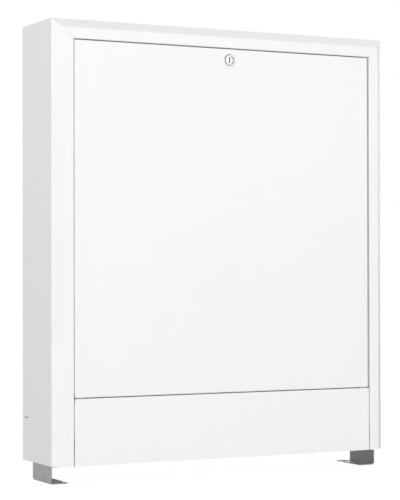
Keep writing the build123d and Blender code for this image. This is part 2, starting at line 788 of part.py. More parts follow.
for number, port_x in enumerate(CIRCUIT_X, start=1):
    with BuildPart() as flow_meter:
        turned(
            (port_x, SUPPLY_Y, SUPPLY_Z + METER_SEAT),
            (0, 0, 1),
            [
                (0.4, 9.9),
                (0.4, 13.5),
                (1.2, 14.3),
                (10.5, 14.3),
                (12, 13),
                (12, 8.6),
                (44, 8.6),
                (47, 7.2),
                (48.5, 4),
                (49, 0),
                (46, 0),
                (46, 6),
                (42, 6.6),
                (8, 6.6),
                (8, 9.9),
            ],
        )
    save(flow_meter, f"flow_meter_{number}")

# ---- Manifold: valve inserts and hand caps on the return bar ------------------------------------

INSERT_COLLAR_RADIUS = 14.0

with BuildPart() as valve_inserts:
    for port_x in CIRCUIT_X:
        origin = (port_x, RETURN_Y, RETURN_Z)
        hexagon(origin, (0, 0, 1), PORT_TOP, PORT_TOP + 6, 26)
        turned(
            origin,
            (0, 0, 1),
            [
                (0, 0),
                (0, 9),
                (5, 9),
                (5, 4),
                (PORT_TOP - 9, 4),
                (PORT_TOP - 9, PORT_THREAD),
                (PORT_TOP + 1, PORT_THREAD),
                (PORT_TOP + 5, INSERT_COLLAR_RADIUS),
                (PORT_TOP + 17, INSERT_COLLAR_RADIUS),
                (PORT_TOP + 18, INSERT_COLLAR_RADIUS - 1),
                (PORT_TOP + 18, 2),
                (PORT_TOP + 24, 2),
                (PORT_TOP + 24, 0),
            ],
        )

save(valve_inserts, "valve_inserts")

for number, port_x in enumerate(CIRCUIT_X, start=1):
    with BuildPart() as valve_cap:
        turned(
            (port_x, RETURN_Y, RETURN_Z + PORT_TOP),
            (0, 0, 1),
            [
                (6.5, INSERT_COLLAR_RADIUS + 0.4),
                (6.5, 18.4),
                (8, 19.2),
                (30, 18.2),
                (33, 16),
                (34, 12),
                (34, 0),
                (24.6, 0),
                (24.6, 4),
                (19, 6),
                (19, INSERT_COLLAR_RADIUS + 0.4),
            ],
        )
        # finger grooves round the grip
        groove_ring = Plane((port_x, RETURN_Y, RETURN_Z + PORT_TOP + 5))
        with BuildSketch(groove_ring):
            with PolarLocations(21.4, 10):
                Circle(3.4)
        extrude(amount=26, mode=Mode.SUBTRACT)
    save(valve_cap, f"valve_cap_{number}")

# ---- Manifold: ball valves ----------------------------------------------------------------------

VALVE_MID = BAR_LEFT - 38.0  # middle of the ball
VALVE_LEFT = BAR_LEFT - 74.0
VALVE_RIGHT = BAR_LEFT - 2.2
VALVE_BORE = 12.5
VALVE_THREAD = 15.2
THREAD_DEPTH = 15.0
CAVITY_RADIUS = 17.2
CAVITY_HALF = 14.5
BALL_RADIUS = 16.4
STEM_RADIUS = 4.5
BONNET_REACH = 27.0
HANDLE_REACH = 31.0

for bar_name, (bar_y, bar_z) in BARS.items():
    middle = (VALVE_MID, bar_y, bar_z)
    left_end = VALVE_LEFT - VALVE_MID
    right_end = VALVE_RIGHT - VALVE_MID
    with BuildPart() as valve_body:
        hexagon(middle, (1, 0, 0), left_end, left_end + 14, 38)
        hexagon(middle, (1, 0, 0), 15, 20, 38)
        turned(
            middle,
            (1, 0, 0),
            [
                (left_end + 13, 0),
                (left_end + 13, 18),
                (-19, 18),
                (-16, 21),
                (13, 21),
                (16, 18),
                (22, 18),
                (22, COLLAR_RADIUS),
                (right_end, COLLAR_RADIUS),
                (right_end, 0),
            ],
        )
        rod(middle, (0, -1, 0), 15, BONNET_REACH, 9)
        # waterway, ball chamber, thread and stem hole
        rod(middle, (1, 0, 0), left_end - 1, right_end + 1, VALVE_BORE, mode=Mode.SUBTRACT)
        rod(middle, (1, 0, 0), -CAVITY_HALF, CAVITY_HALF, CAVITY_RADIUS, mode=Mode.SUBTRACT)
        rod(
            middle,
            (1, 0, 0),
            left_end - 1,
            left_end + THREAD_DEPTH,
            VALVE_THREAD,
            mode=Mode.SUBTRACT,
        )
        rod(middle, (0, -1, 0), 10, BONNET_REACH + 1, STEM_RADIUS + 0.08, mode=Mode.SUBTRACT)
    save(valve_body, f"{bar_name}_valve_body")

    with BuildPart() as valve_ball:
        with Locations(middle):
            Sphere(BALL_RADIUS)
        rod(middle, (0, -1, 0), 10, HANDLE_REACH + 8, STEM_RADIUS)
        rod(middle, (1, 0, 0), -20, 20, VALVE_BORE, mode=Mode.SUBTRACT)
    save(valve_ball, f"{bar_name}_valve_ball")

    with BuildPart() as valve_handle:
        front = bar_y - HANDLE_REACH
        with BuildSketch(Plane.XZ.offset(-front)):
            with Locations((VALVE_MID, bar_z)):
                SlotCenterToCenter(44, 15)
                Circle(10.5)
        extrude(amount=5)
        rod(middle, (0, -1, 0), HANDLE_REACH - 2.5, HANDLE_REACH + 7, 7.6)
        grip_edges = valve_handle.faces().filter_by(Axis.Y).sort_by(Axis.Y)[0:2].edges()
        fillet(grip_edges.filter_by(GeomType.LINE), 1.2)
        rod(middle, (0, -1, 0), 0, HANDLE_REACH + 8, STEM_RADIUS, mode=Mode.SUBTRACT)
    save(valve_handle, f"{bar_name}_valve_handle")

with BuildPart() as ball_seats:
    for bar_y, bar_z in BARS.values():
        for along in ((-1, 0, 0), (1, 0, 0)):
            turned(
                (VALVE_MID, bar_y, bar_z),
                along,
                [
                    (11.6, VALVE_BORE),
                    (CAVITY_HALF, VALVE_BORE),
                    (CAVITY_HALF, CAVITY_RADIUS - 0.2),
                    (9.5, CAVITY_RADIUS - 0.2),
                    (9.5, 14.2),
                ],
            )

save(ball_seats, "ball_seats")

with BuildPart() as union_nuts:
    for bar_y, bar_z in BARS.values():
        nut_origin = (BAR_LEFT, bar_y, bar_z)
        hexagon(nut_origin, (1, 0, 0), -15, 8.5, 46)
        rod(nut_origin, (1, 0, 0), -16, 5.3, COLLAR_RADIUS + 0.1, mode=Mode.SUBTRACT)
        rod(nut_origin, (1, 0, 0), 5, 9, BAR_RADIUS + 0.2, mode=Mode.SUBTRACT)

with BuildPart() as union_seals:
    for bar_y, bar_z in BARS.values():
        rod((BAR_LEFT, bar_y, bar_z), (1, 0, 0), -2.1, -0.1, COLLAR_RADIUS - 0.3, BAR_BORE)

save(union_nuts, "union_nuts")
save(union_seals, "union_seals")

# ---- Manifold: end pieces, air vents and drain caps ---------------------------------------------

END_BODY_MID = 20.0  # from the bar's end to the middle of the end piece
DRAIN_SPIGOT = 10.0
VENT_RADIUS = 3.6

for bar_name, (bar_y, bar_z) in BARS.items():
    bar_end = (BAR_RIGHT, bar_y, bar_z)
    end_middle = (BAR_RIGHT + END_BODY_MID, bar_y, bar_z)
    with BuildPart() as end_piece:
        hexagon(bar_end, (1, 0, 0), 0.2, 8, 38)
        turned(
            bar_end,
            (1, 0, 0),
            [
                (-13, 0),
                (-13, BAR_BORE - 0.05),
                (0.5, BAR_BORE - 0.05),
                (7, 15),
                (33, 15),
                (36, 12),
                (38, 7),
                (38, 0),
            ],
        )
        rod(end_middle, (0, 0, 1), 8, 21, 8)
        rod(end_middle, (0, 0, -1), 8, 24, 11)
        rod(end_middle, (0, 0, -1), 23, 36, DRAIN_SPIGOT)
        rod(bar_end, (1, 0, 0), -14, 30, 9, mode=Mode.SUBTRACT)
        rod(end_middle, (0, 0, 1), 0, 22, VENT_RADIUS + 0.4, mode=Mode.SUBTRACT)
        rod(end_middle, (0, 0, -1), 0, 37, 5.5, mode=Mode.SUBTRACT)
    save(end_piece, f"{bar_name}_end_piece")

    with BuildPart() as air_vent:
        turned(
            end_middle,
            (0, 0, 1),
            [(10, 0), (10, VENT_RADIUS), (21.4, VENT_RADIUS), (21.4, 7), (29, 7), (30, 6), (30, 0)],
        )
        with BuildSketch(Plane(end_middle).offset(27)):
            Rectangle(16, 1.6)
        extrude(amount=4, mode=Mode.SUBTRACT)
    save(air_vent, f"{bar_name}_air_vent")

    with BuildPart() as drain_cap:
        turned(
            end_middle,
            (0, 0, -1),
            [
                (25, DRAIN_SPIGOT + 0.4),
                (25, 13),
                (38.5, 13),
                (39.5, 12),
                (39.5, 0),
                (36.5, 0),
                (36.5, DRAIN_SPIGOT + 0.4),
            ],
        )
        block(
            (end_middle[0] - 2.5, bar_y - 10, bar_z - 45),
            (end_middle[0] + 2.5, bar_y + 10, bar_z - 39),
        )
    save(drain_cap, f"{bar_name}_drain_cap")

# ---- Manifold: brackets, clamps and fasteners ---------------------------------------------------

CUSHION_RADIUS = 19.5
SADDLE_RADIUS = 22.0
EAR_REACH = 35.0
STRIP_THICKNESS = 3.0
strip_front = rail_front - STRIP_THICKNESS
EAR_SCREW = 29.0
NUT_PLATE = 5.0

for side_name, bracket_x in zip(("left", "right"), BRACKET_X):
    low_x = bracket_x - BRACKET_WIDTH / 2
    high_x = bracket_x + BRACKET_WIDTH / 2
    with BuildPart() as bracket:
        block((low_x, strip_front, LOWER_RAIL_Z - 12), (high_x, rail_front, UPPER_RAIL_Z + 12))
        for bar_y, bar_z in BARS.values():
            # saddle behind the bar, its ears and the arms that carry it
            rod((bracket_x, bar_y, bar_z), (1, 0, 0), -8, 8, SADDLE_RADIUS)
            block(
                (low_x, bar_y + 0.2, bar_z - EAR_REACH),
                (high_x, bar_y + 3.2, bar_z + EAR_REACH),
            )
            for arm_z in (bar_z - 14, bar_z + 11):
                block((low_x, bar_y + 12, arm_z), (high_x, rail_front - 0.5, arm_z + 3))
            block(
                (low_x - 1, bar_y - 40, bar_z - EAR_REACH - 1),
                (high_x + 1, bar_y + 0.2, bar_z + EAR_REACH + 1),
                Mode.SUBTRACT,
            )
            rod(
                (bracket_x, bar_y, bar_z),
                (1, 0, 0),
                -9,
                9,
                CUSHION_RADIUS,
                mode=Mode.SUBTRACT,
            )
            for screw_z in (bar_z - EAR_SCREW, bar_z + EAR_SCREW):
                rod(
                    (bracket_x, bar_y, screw_z),
                    (0, 1, 0),
                    -1,
                    5,
                    2.5,
                    mode=Mode.SUBTRACT,
                )
        for bolt_z in (LOWER_RAIL_Z, UPPER_RAIL_Z):
            rod(
                (bracket_x, strip_front, bolt_z),
                (0, 1, 0),
                -1,
                STRIP_THICKNESS + 1,
                4.2,
                mode=Mode.SUBTRACT,
            )
    save(bracket, f"{side_name}_bracket")

with BuildPart() as bracket_clamps:
    for bracket_x in BRACKET_X:
        low_x = bracket_x - BRACKET_WIDTH / 2
        high_x = bracket_x + BRACKET_WIDTH / 2
        for bar_y, bar_z in BARS.values():
            with BuildSketch(Plane.YZ.offset(low_x)):
                with Locations((bar_y, bar_z)):
                    Circle(SADDLE_RADIUS)
                with Locations((bar_y - 1.7, bar_z)):
                    Rectangle(3, 2 * EAR_REACH)
                with Locations((bar_y + 20 - 0.2, bar_z)):
                    Rectangle(40, 2 * EAR_REACH + 2, mode=Mode.SUBTRACT)
                with Locations((bar_y, bar_z)):
                    Circle(CUSHION_RADIUS, mode=Mode.SUBTRACT)
            extrude(amount=BRACKET_WIDTH)
            for screw_z in (bar_z - EAR_SCREW, bar_z + EAR_SCREW):
                rod(
                    (bracket_x, bar_y, screw_z),
                    (0, 1, 0),
                    -5,
                    1,
                    2.5,
                    mode=Mode.SUBTRACT,
                )

save(bracket_clamps, "bracket_clamps")

with BuildPart() as bar_cushions:
    for bracket_x in BRACKET_X:
        for bar_y, bar_z in BARS.values():
            rod((bracket_x, bar_y, bar_z), (1, 0, 0), -8.5, 8.5, CUSHION_RADIUS, BAR_RADIUS)

save(bar_cushions, "bar_cushions")

with BuildPart() as clamp_screws:
    for bracket_x in BRACKET_X:
        for bar_y, bar_z in BARS.values():
            for screw_z in (bar_z - EAR_SCREW, bar_z + EAR_SCREW):
                turned(
                    (bracket_x, bar_y - 3.2, screw_z),
                    (0, 1, 0),
                    [(-3.6, 0), (-3.2, 3), (-1.6, 4.6), (0, 4.8), (0, 2.5), (10, 2.5), (10, 0)],
                )

save(clamp_screws, "clamp_screws")

nut_front = rail_front + RAIL_SHEET

with BuildPart() as rail_slide_nuts:
    for bracket_x in BRACKET_X:
        for bolt_z in (LOWER_RAIL_Z, UPPER_RAIL_Z):
            with Locations((bracket_x, nut_front + NUT_PLATE / 2, bolt_z)):
                Box(20, NUT_PLATE, 22)
            rod(
                (bracket_x, nut_front, bolt_z),
                (0, 1, 0),
                -1,
                NUT_PLATE + 1,
                4,
                mode=Mode.SUBTRACT,
            )

with BuildPart() as bracket_bolts:
    for bracket_x in BRACKET_X:
        for bolt_z in (LOWER_RAIL_Z, UPPER_RAIL_Z):
            origin = (bracket_x, strip_front, bolt_z)
            hexagon(origin, (0, 1, 0), -7, -1.6, 13)
            rod(origin, (0, 1, 0), -1.6, 0, 8)
            rod(origin, (0, 1, 0), -2, STRIP_THICKNESS + RAIL_SHEET + NUT_PLATE, 4)

save(rail_slide_nuts, "rail_slide_nuts")
save(bracket_bolts, "bracket_bolts")
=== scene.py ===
import json
import math

import bmesh
import bpy
from mathutils import Matrix, Vector


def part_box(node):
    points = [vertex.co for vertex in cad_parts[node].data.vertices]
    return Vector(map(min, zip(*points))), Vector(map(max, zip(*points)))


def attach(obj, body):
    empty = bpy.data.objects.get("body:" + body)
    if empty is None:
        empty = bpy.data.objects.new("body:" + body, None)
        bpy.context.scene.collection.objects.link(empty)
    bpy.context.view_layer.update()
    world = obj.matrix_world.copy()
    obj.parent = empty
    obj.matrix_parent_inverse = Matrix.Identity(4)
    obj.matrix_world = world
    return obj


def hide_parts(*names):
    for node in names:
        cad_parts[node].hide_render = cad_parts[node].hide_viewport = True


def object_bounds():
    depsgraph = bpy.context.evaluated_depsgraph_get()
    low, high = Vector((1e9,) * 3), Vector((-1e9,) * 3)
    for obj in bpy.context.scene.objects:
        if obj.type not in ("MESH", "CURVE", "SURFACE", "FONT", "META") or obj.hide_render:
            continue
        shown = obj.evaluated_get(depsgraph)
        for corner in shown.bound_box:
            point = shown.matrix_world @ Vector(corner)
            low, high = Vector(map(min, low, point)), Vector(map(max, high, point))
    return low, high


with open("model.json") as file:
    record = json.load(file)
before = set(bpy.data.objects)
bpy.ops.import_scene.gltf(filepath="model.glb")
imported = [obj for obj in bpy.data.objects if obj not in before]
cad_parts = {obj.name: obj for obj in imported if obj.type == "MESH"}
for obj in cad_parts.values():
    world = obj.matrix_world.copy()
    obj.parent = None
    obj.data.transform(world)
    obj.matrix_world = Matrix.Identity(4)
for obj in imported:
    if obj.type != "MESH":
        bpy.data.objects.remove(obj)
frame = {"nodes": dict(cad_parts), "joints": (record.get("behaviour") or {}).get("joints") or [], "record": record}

# A surface-mounted cabinet for an underfloor heating manifold, with the manifold station inside it.
# Everything is in metres. MM turns a size in millimetres into metres.

MM = 0.001
FULL_TURN = 2 * math.pi
ALONG_X = Vector((1, 0, 0))
ALONG_Y = Vector((0, 1, 0))
ALONG_Z = Vector((0, 0, 1))

cad_low, cad_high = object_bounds()
joint_at = {j["name"]: Vector(j["pos_m"]) for j in frame["joints"] if "pos_m" in j}
BARS = ("supply", "return")
CIRCUITS = (1, 2, 3)
bar_axis = {bar: joint_at[f"{bar}_valve_turn"] for bar in BARS}


def middle(node):
    low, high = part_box(node)
    return (low + high) / 2


# ---- Node trees ---------------------------------------------------------------------------------


class Wire:
    """A value on its way through a node tree. Arithmetic on it adds Math nodes to the tree."""

    def __init__(self, graph, socket):
        self.graph = graph
        self.socket = socket

    def maths(self, operation, *values):
        return self.graph.add("ShaderNodeMath", {"operation": operation}, dict(enumerate(values)))

    def __add__(self, other):
        return self.maths("ADD", self, other)

    __radd__ = __add__

    def __sub__(self, other):
        return self.maths("SUBTRACT", self, other)

    def __rsub__(self, other):
        return self.maths("SUBTRACT", other, self)

    def __mul__(self, other):
        return self.maths("MULTIPLY", self, other)

    __rmul__ = __mul__


class Graph:
    """A node tree, filled through one method."""

    def __init__(self, tree):
        self.tree = tree

    def add(self, kind, settings=None, inputs=None, output=0):
        node = self.tree.nodes.new(kind)
        for name, value in (settings or {}).items():
            setattr(node, name, value)
        for name, value in (inputs or {}).items():
            self.feed(node.inputs[name], value)
        return Wire(self, node.outputs[output]) if len(node.outputs) else node

    def ramp(self, value, low, high):
        """0 at low, 1 at high and smooth between them."""
        return self.add(
            "ShaderNodeMapRange",
            {"interpolation_type": "SMOOTHSTEP"},
            {"Value": value, "From Min": low, "From Max": high},
        )

    def feed(self, socket, value):
        if isinstance(value, Wire):
            self.tree.links.new(value.socket, socket)
        else:
            socket.default_value = value


class Finish(Graph):
    """A material whose pattern follows the object's own coordinates."""

    def __init__(self, name, **constants):
        self.material = bpy.data.materials.new(name)
        self.material.use_nodes = True
        super().__init__(self.material.node_tree)
        self.surface = self.tree.nodes["Principled BSDF"]
        self.place = self.add("ShaderNodeTexCoord", output="Object")
        for socket, value in constants.items():
            self.feed(self.surface.inputs[socket.replace("_", " ")], value)

    def noise(self, cells_per_metre, detail=2.0):
        return self.add(
            "ShaderNodeTexNoise",
            inputs={"Vector": self.place, "Scale": cells_per_metre, "Detail": detail},
        )

    def crystals(self, cells_per_metre):
        """A random shade for each cell of a broken surface."""
        cells = self.add(
            "ShaderNodeTexVoronoi",
            inputs={"Vector": self.place, "Scale": cells_per_metre},
            output="Color",
        )
        return self.add("ShaderNodeSeparateColor", inputs={"Color": cells})

    def stretched(self, cells_per_metre, squeeze):
        """Noise drawn out into lines: squeeze scales the three axes."""
        turned = self.add("ShaderNodeMapping", inputs={"Vector": self.place, "Scale": squeeze})
        return self.add("ShaderNodeTexNoise", inputs={"Vector": turned, "Scale": cells_per_metre})

    def colour(self, mask, dark, light):
        mixed = self.add(
            "ShaderNodeMix",
            {"data_type": "RGBA"},
            {0: mask, 6: (*dark, 1), 7: (*light, 1)},
            output=2,
        )
        self.feed(self.surface.inputs["Base Color"], mixed)

    def roughness(self, value):
        self.feed(self.surface.inputs["Roughness"], value)

    def relief(self, height, depth, strength=1.0):
        """Bumps of a depth in metres; a second call adds to the first."""
        before = self.surface.inputs["Normal"]
        inputs = {"Strength": strength, "Distance": depth, "Height": height}
        if before.links:
            inputs["Normal"] = Wire(self, before.links[0].from_socket)
        self.feed(before, self.add("ShaderNodeBump", inputs=inputs))


# ---- Finishes -----------------------------------------------------------------------------------


def powder_coat():
    """White polyester powder on sheet steel: a faint orange peel over slightly uneven sheet."""
    f = Finish("white_powder_coat", Metallic=0.0, Coat_Weight=0.0)
    cloud = f.noise(5.0, 3.0)
    f.colour(cloud, (0.845, 0.85, 0.85), (0.875, 0.88, 0.878))
    peel = f.noise(520.0, 1.0)
    f.roughness(0.40 + 0.10 * peel)
    f.relief(f.noise(9.0), 0.5 * MM, 0.35)
    f.relief(peel, 0.025 * MM, 0.6)
    return f.material


def galvanised():
    """Hot-dip zinc on sheet steel: crystals a few millimetres across, each a shade of grey."""
    f = Finish("galvanised_sheet", Metallic=0.9)
    spangle = f.crystals(210.0)
    frost = f.noise(900.0, 3.0)
    shade = 0.7 * spangle + 0.3 * frost
    f.colour(shade, (0.52, 0.517, 0.512), (0.66, 0.656, 0.65))
    f.roughness(0.36 + 0.22 * spangle)
    f.relief(spangle, 0.02 * MM, 0.4)
    f.relief(frost, 0.012 * MM, 0.5)
    return f.material


def zinc_plate():
    """Bright zinc on turned and stamped steel, a little warm in places."""
    f = Finish("bright_zinc", Metallic=1.0)
    tint = f.noise(140.0, 2.0)
    f.colour(tint, (0.60, 0.62, 0.64), (0.74, 0.72, 0.66))
    f.roughness(0.22 + 0.16 * f.noise(700.0))
    f.relief(f.noise(1500.0), 0.01 * MM, 0.5)
    return f.material


def chrome(name, grain):
    """Polished chrome with a breath of fine scratches."""
    f = Finish(name, Metallic=1.0)
    scratch = f.stretched(900.0, (1.0, 1.0, 12.0))
    f.colour(f.noise(200.0), (0.76, 0.765, 0.77), (0.84, 0.84, 0.845))
    f.roughness(grain + 0.07 * scratch)
    f.relief(scratch, 0.003 * MM, 0.4)
    return f.material


def nickel_brass():
    """Satin nickel over forged brass: warm grey, with the skin of the forging under it."""
    f = Finish("satin_nickel", Metallic=1.0)
    skin = f.noise(420.0, 4.0)
    f.colour(f.noise(45.0, 2.0), (0.60, 0.575, 0.53), (0.72, 0.695, 0.65))
    f.roughness(0.24 + 0.16 * skin)
    f.relief(skin, 0.05 * MM, 0.35)
    return f.material


def moulded(name, dark, light, rough=0.42):
    """Injection-moulded plastic with a spark-eroded texture."""
    f = Finish(name, Metallic=0.0)
    grain = f.noise(1900.0, 2.0)
    f.colour(f.noise(60.0), dark, light)
    f.roughness(rough + 0.12 * grain)
    f.relief(grain, 0.03 * MM, 0.5)
    return f.material


def clear_moulded():
    """Clear polyamide, as of a sight glass."""
    f = Finish("clear_polyamide", Metallic=0.0, Transmission_Weight=1.0, IOR=1.5)
    haze = f.noise(90.0, 2.0)
    f.colour(haze, (0.90, 0.94, 0.95), (0.96, 0.98, 0.98))
    f.roughness(0.03 + 0.05 * haze)
    return f.material


def rubber():
    f = Finish("black_rubber_finish", Metallic=0.0)
    grain = f.noise(1200.0, 3.0)
    f.colour(grain, (0.018, 0.018, 0.019), (0.04, 0.04, 0.042))
    f.roughness(0.62 + 0.2 * grain)
    f.relief(grain, 0.05 * MM, 0.6)
    return f.material


finishes = {
    "cabinet_white": powder_coat(),
    "galvanised_steel": galvanised(),
    "zinc_plated_steel": zinc_plate(),
    "lock_chrome": chrome("lock_chrome_plate", 0.02),
    "ball_chrome": chrome("hard_chrome", 0.04),
    "nickel_brass": nickel_brass(),
    "clear_plastic": clear_moulded(),
    "white_plastic": moulded("white_moulding", (0.80, 0.80, 0.78), (0.86, 0.86, 0.845)),
    "black_plastic": moulded("black_moulding", (0.03, 0.03, 0.032), (0.06, 0.06, 0.064)),
    "red_plastic": moulded("red_moulding", (0.50, 0.03, 0.025), (0.62, 0.05, 0.04)),
    "blue_plastic": moulded("blue_moulding", (0.02, 0.09, 0.36), (0.035, 0.13, 0.46)),
    "seat_plastic": moulded("seat_moulding", (0.84, 0.84, 0.82), (0.90, 0.90, 0.88), 0.3),
    "black_rubber": rubber(),
}


def dress_frame():
    """Every CAD node gets the finish of its slot."""
    for part in frame["record"]["subparts"]:
        node = frame["nodes"][part["node"]]
        for place in range(len(node.material_slots)):
            node.material_slots[place].material = finishes[part["material_slot"]]


# ---- Shapes -------------------------------------------------------------------------------------


def hexed(across_flats, limit=math.inf, turned=0.0):
    """The radius of a hexagon, in any direction, no larger than limit."""

    def radius(angle):
        off_flat = (angle + turned + math.pi / 6) % (math.pi / 3) - math.pi / 6
        return min(across_flats / 2 / math.cos(off_flat), limit)

    return radius


def ribbed(radius, count, depth):
    """A round grip with fingers of that depth."""
    return lambda angle: radius - depth * (0.5 + 0.5 * math.cos(count * angle)) ** 2


def stadium(half_length, end_radius):
    """The outline of a bar with round ends, seen from its middle."""

    def radius(angle):
        across = abs(math.sin(angle))
        along = abs(math.cos(angle))
        if half_length * across <= end_radius * along:
            return half_length * along + math.sqrt(end_radius**2 - (half_length * across) ** 2)
        return end_radius / across

    return radius


def thread_rows(start, end, major, pitch, depth, per_turn=6):
    """Rows of a helical thread that fades out at both ends."""

    def ridge(place):
        fade = min((place - start) / pitch, (end - place) / pitch, 1.0)

        def radius(angle):
            phase = (place / pitch - angle / FULL_TURN) % 1.0
            return major - depth * max(fade, 0.0) * abs(2 * phase - 1)

        return radius

    count = round((end - start) / pitch * per_turn)
    places = [start + (end - start) * i / count for i in range(count + 1)]
    return [(place, ridge(place)) for place in places]


def frame_along(centre, along):
    """Turns a lathe's own Z axis to along, about centre, and keeps its X level."""
    turn = along.to_track_quat("Z", "Y")
    return Matrix.Translation(centre) @ turn.to_matrix().to_4x4()


def lathe(rows, centre, along=ALONG_Z, segments=72, closed=True):
    """A solid of rows (distance along the axis, radius or radius by angle), in millimetres.

    A row of radius 0 is a pole. Closed rows form a ring, so the last row joins the first.
    """
    shape = bmesh.new()
    rings = []
    for place, radius in rows:
        if radius == 0:
            rings.append([shape.verts.new((0, 0, place))] * segments)
            continue
        at = radius if callable(radius) else lambda angle, r=radius: r
        ring = []
        for i in range(segments):
            angle = FULL_TURN * i / segments
            reach = at(angle)
            ring.append(shape.verts.new((reach * math.cos(angle), reach * math.sin(angle), place)))
        rings.append(ring)
    pairs = list(zip(rings, rings[1:]))
    if closed:
        pairs.append((rings[-1], rings[0]))
    for lower, upper in pairs:
        for i in range(segments):
            j = (i + 1) % segments
            corners = list(dict.fromkeys((lower[i], lower[j], upper[j], upper[i])))
            if len(corners) > 2:
                shape.faces.new(corners)
    bmesh.ops.recalc_face_normals(shape, faces=shape.faces)
    shape.transform(frame_along(centre, along) @ Matrix.Scale(MM, 4))
    mesh = bpy.data.meshes.new("turned")
    shape.to_mesh(mesh)
    shape.free()
    return mesh


def slab(start, end, outline, along):
    """A flat piece of one outline between two places on its axis."""
    mesh = lathe([(start, outline), (end, outline)], Vector(), along, 24, False)
    shape = bmesh.new()
    shape.from_mesh(mesh)
    bmesh.ops.holes_fill(shape, edges=shape.edges)
    bmesh.ops.recalc_face_normals(shape, faces=shape.faces)
    shape.to_mesh(mesh)
    shape.free()
    return mesh


def crisp(mesh, degrees=32):
    """Smooth faces with a hard edge wherever two of them meet at more than the angle."""
    mesh.polygons.foreach_set("use_smooth", [True] * len(mesh.polygons))
    mesh.set_sharp_from_angle(angle=math.radians(degrees))
    return mesh


def joined(*meshes):
    shape = bmesh.new()
    for mesh in meshes:
        shape.from_mesh(mesh)
        bpy.data.meshes.remove(mesh)
    whole = bpy.data.meshes.new("joined")
    shape.to_mesh(whole)
    shape.free()
    return whole


def piece(name, mesh, slot, body, *replaced):
    """A finished piece at the origin, on its body."""
    made = bpy.data.objects.new(name, crisp(mesh))
    bpy.context.scene.collection.objects.link(made)
    mesh.name = name
    mesh.materials.clear()
    mesh.materials.append(finishes[slot])
    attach(made, body)
    if replaced:
        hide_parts(*replaced)
    return made


# ---- Geometry node trees ------------------------------------------------------------------------


def node_tree(name, sizes):
    """An empty geometry tree: sizes maps each named input to (socket type, default)."""
    tree = bpy.data.node_groups.new(name, "GeometryNodeTree")
    tree.interface.new_socket("Geometry", in_out="INPUT", socket_type="NodeSocketGeometry")
    for label, (kind, default) in sizes.items():
        socket = tree.interface.new_socket(label, in_out="INPUT", socket_type=kind)
        if default is not None:
            socket.default_value = default
    tree.interface.new_socket("Geometry", in_out="OUTPUT", socket_type="NodeSocketGeometry")
    graph = Graph(tree)
    entry = tree.nodes.new("NodeGroupInput")
    inputs = {socket.name: Wire(graph, socket) for socket in entry.outputs if socket.name}
    return graph, inputs


def finish_tree(graph, instances, material):
    """Realises the instances, sets their material and ends the tree."""
    real = graph.add("GeometryNodeRealizeInstances", inputs={"Geometry": instances})
    done = graph.add("GeometryNodeSetMaterial", inputs={"Geometry": real, "Material": material})
    graph.add("NodeGroupOutput", inputs={"Geometry": done})
    return graph.tree


def fastener_tree():
    """One head on each point, each turned by its own amount about its axis."""
    graph, given = node_tree(
        "fasteners_on_points",
        {
            "Head": ("NodeSocketObject", None),
            "Axis": ("NodeSocketVector", (0, 0, 1)),
            "Largest turn": ("NodeSocketFloat", 0.0),
            "Seed": ("NodeSocketInt", 1),
            "Finish": ("NodeSocketMaterial", None),
        },
    )
    head = graph.add("GeometryNodeObjectInfo", inputs={"Object": given["Head"]}, output="Geometry")
    spin = graph.add(
        "FunctionNodeRandomValue",
        {"data_type": "FLOAT"},
        {"Min": 0.0, "Max": given["Largest turn"], "Seed": given["Seed"]},
        output=1,
    )
    turn = graph.add(
        "FunctionNodeAxisAngleToRotation", inputs={"Axis": given["Axis"], "Angle": spin}
    )
    placed = graph.add(
        "GeometryNodeInstanceOnPoints",
        inputs={"Points": given["Geometry"], "Instance": head, "Rotation": turn},
    )
    return finish_tree(graph, placed, given["Finish"])


def spring_tree():
    """A coil spring that stands on each point."""
    graph, given = node_tree(
        "coil_springs",
        {
            "Turns": ("NodeSocketFloat", 6.0),
            "Radius": ("NodeSocketFloat", 0.004),
            "Height": ("NodeSocketFloat", 0.015),
            "Wire radius": ("NodeSocketFloat", 0.0003),
            "Finish": ("NodeSocketMaterial", None),
        },
    )
    helix = graph.add(
        "GeometryNodeCurveSpiral",
        inputs={
            "Resolution": 20,
            "Rotations": given["Turns"],
            "Start Radius": given["Radius"],
            "End Radius": given["Radius"],
            "Height": given["Height"],
        },
    )
    ring = graph.add(
        "GeometryNodeCurvePrimitiveCircle",
        inputs={"Resolution": 8, "Radius": given["Wire radius"]},
    )
    coil = graph.add(
        "GeometryNodeCurveToMesh", inputs={"Curve": helix, "Profile Curve": ring, "Fill Caps": True}
    )
    placed = graph.add(
        "GeometryNodeInstanceOnPoints", inputs={"Points": given["Geometry"], "Instance": coil}
    )
    return finish_tree(graph, placed, given["Finish"])


def grown(name, tree, points, slot, body, *replaced, **values):
    """Runs a tree on points, in metres, and keeps the result as one plain mesh on its body."""
    seed_mesh = bpy.data.meshes.new("points")
    seed_mesh.from_pydata([tuple(p) for p in points], [], [])
    seed = bpy.data.objects.new("points", seed_mesh)
    bpy.context.scene.collection.objects.link(seed)
    modifier = seed.modifiers.new("rule", "NODES")
    modifier.node_group = tree
    for item in tree.interface.items_tree:
        label = item.name.replace(" ", "_")
        if item.in_out == "INPUT" and label in values:
            modifier[item.identifier] = values[label]
        elif item.in_out == "INPUT" and item.name == "Finish":
            modifier[item.identifier] = finishes[slot]
    depsgraph = bpy.context.evaluated_depsgraph_get()
    mesh = bpy.data.meshes.new_from_object(seed.evaluated_get(depsgraph))
    seed.modifiers.remove(modifier)
    bpy.data.objects.remove(seed)
    return piece(name, mesh, slot, body, *replaced)


def pattern(mesh):
    """An object that carries a head's mesh for a tree."""
    holder = bpy.data.objects.new("pattern", crisp(mesh))
    bpy.context.scene.collection.objects.link(holder)
    return holder


